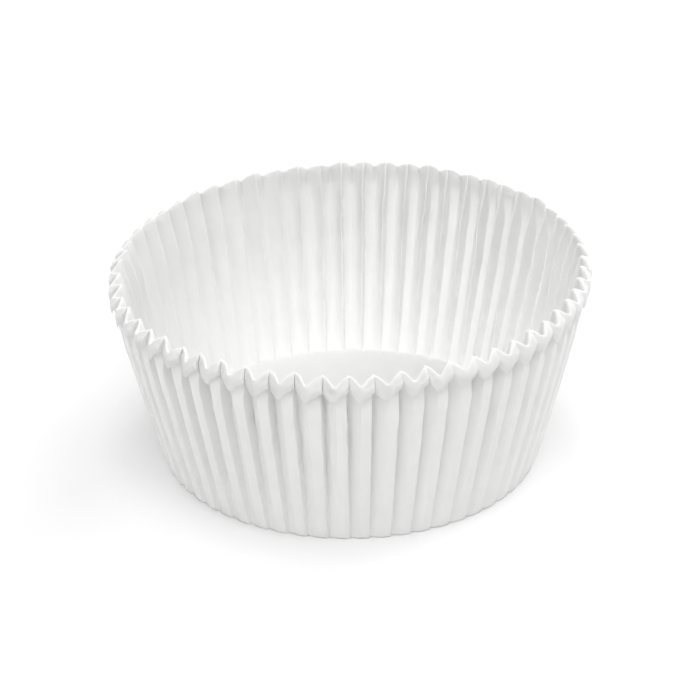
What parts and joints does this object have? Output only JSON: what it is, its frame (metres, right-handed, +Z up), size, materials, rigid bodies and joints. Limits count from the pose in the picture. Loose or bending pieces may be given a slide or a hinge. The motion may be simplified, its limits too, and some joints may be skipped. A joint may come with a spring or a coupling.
{
  "type": "paper baking cup",
  "caption": "Round paper baking cup with a flat floor, a fluted wall that leans outward and a rim turned over into a narrow hem.",
  "frame": {"origin": "centre of the floor's underside, where the cup stands", "axes": "+Z up along the axis of the cup, out of its open mouth; X and Y lie in the plane it stands on"},
  "size_m": [0.0636, 0.0636, 0.0266],
  "materials": {
    "paper": "matt white greaseproof paper"
  },
  "bodies": {
    "root": {"baking_cup": "paper"}
  },
  "joints": []
}
